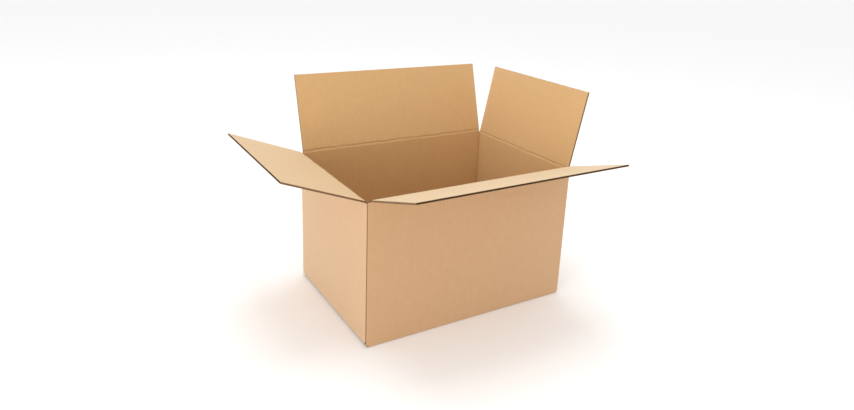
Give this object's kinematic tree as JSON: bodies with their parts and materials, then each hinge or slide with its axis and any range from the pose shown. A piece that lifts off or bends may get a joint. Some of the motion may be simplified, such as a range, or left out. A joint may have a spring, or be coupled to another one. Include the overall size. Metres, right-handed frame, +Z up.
{
  "type": "open cardboard box",
  "caption": "Open corrugated cardboard carton with hinged top flaps folded outwards and a closed bottom.",
  "frame": {"origin": "centre of the outer plan at the floor, under the carton", "axes": "+X along the carton's length, -Y towards the long front wall, +Z up"},
  "size_m": [0.5681, 0.4604, 0.3894],
  "materials": {
    "kraft_board": "matt kraft linerboard",
    "glue": "dried adhesive"
  },
  "bodies": {
    "carton": {"carton_body": "kraft_board", "joint_glue": "glue", "bottom_glue": "glue"},
    "front_flap": {"front_flap": "kraft_board"},
    "rear_flap": {"rear_flap": "kraft_board"},
    "left_flap": {"left_flap": "kraft_board"},
    "right_flap": {"right_flap": "kraft_board"}
  },
  "joints": [
    {"name": "front_flap_fold", "type": "hinge", "parent": "carton", "child": "front_flap", "pos_m": [0, -0.1431, 0.252], "axis": [1, 0, 0], "range_deg": [-162, 103]},
    {"name": "rear_flap_fold", "type": "hinge", "parent": "carton", "child": "rear_flap", "pos_m": [0, 0.1431, 0.252], "axis": [-1, 0, 0], "range_deg": [-106, 159]},
    {"name": "left_flap_fold", "type": "hinge", "parent": "carton", "child": "left_flap", "pos_m": [-0.2031, 0, 0.2486], "axis": [0, -1, 0], "range_deg": [-159, 106]},
    {"name": "right_flap_fold", "type": "hinge", "parent": "carton", "child": "right_flap", "pos_m": [0.2031, 0, 0.2486], "axis": [0, 1, 0], "range_deg": [-102, 163]}
  ]
}
